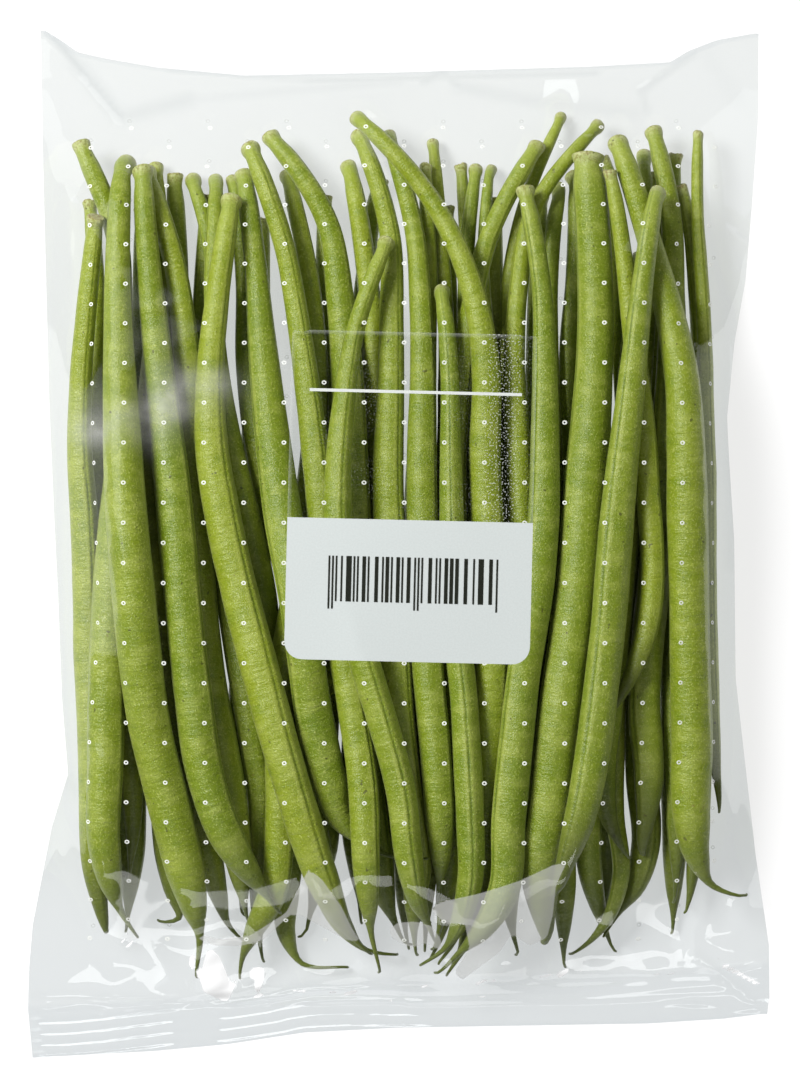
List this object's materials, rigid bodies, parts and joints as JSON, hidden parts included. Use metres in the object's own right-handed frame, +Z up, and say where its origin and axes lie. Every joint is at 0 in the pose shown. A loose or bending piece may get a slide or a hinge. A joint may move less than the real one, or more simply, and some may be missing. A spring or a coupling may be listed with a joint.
{
  "type": "bagged green bean bundle",
  "caption": "Fresh green beans lying side by side in a flat pillow pouch of clear perforated film with a plain label, resting on its back.",
  "frame": {"origin": "on the surface the pouch lies on, under the middle of its box", "axes": "+Z up out of the labelled front, +Y along the beans to their stem ends, +X across the pouch to the right"},
  "size_m": [0.1397, 0.1937, 0.0275],
  "materials": {
    "bean_skin": "satin fuzzy pod skin",
    "clear_film": "clear glossy plastic film",
    "label_film": "satin plastic label"
  },
  "bodies": {
    "root": {"bag_film": "clear_film", "bean_01": "bean_skin", "bean_02": "bean_skin", "bean_03": "bean_skin", "bean_04": "bean_skin", "bean_05": "bean_skin", "bean_06": "bean_skin", "bean_07": "bean_skin", "bean_08": "bean_skin", "bean_09": "bean_skin", "bean_10": "bean_skin", "bean_11": "bean_skin", "bean_12": "bean_skin", "bean_13": "bean_skin", "bean_14": "bean_skin", "bean_15": "bean_skin", "bean_16": "bean_skin", "bean_17": "bean_skin", "bean_18": "bean_skin", "bean_19": "bean_skin", "bean_20": "bean_skin", "bean_21": "bean_skin", "bean_22": "bean_skin", "bean_23": "bean_skin", "bean_24": "bean_skin", "bean_25": "bean_skin", "bean_26": "bean_skin", "bean_27": "bean_skin", "bean_28": "bean_skin", "bean_29": "bean_skin", "bean_30": "bean_skin", "bean_31": "bean_skin", "bean_32": "bean_skin", "bean_33": "bean_skin", "bean_34": "bean_skin", "bean_35": "bean_skin", "bean_36": "bean_skin", "bean_37": "bean_skin", "bean_38": "bean_skin", "bean_39": "bean_skin", "bean_40": "bean_skin", "bean_41": "bean_skin", "bean_42": "bean_skin", "bean_43": "bean_skin", "bean_44": "bean_skin", "bean_45": "bean_skin", "bean_46": "bean_skin", "bean_47": "bean_skin", "bean_48": "bean_skin", "bean_49": "bean_skin", "bean_50": "bean_skin", "bean_51": "bean_skin", "bean_52": "bean_skin", "bean_53": "bean_skin", "bean_54": "bean_skin", "bean_55": "bean_skin", "bean_56": "bean_skin", "label": "label_film"}
  },
  "joints": []
}
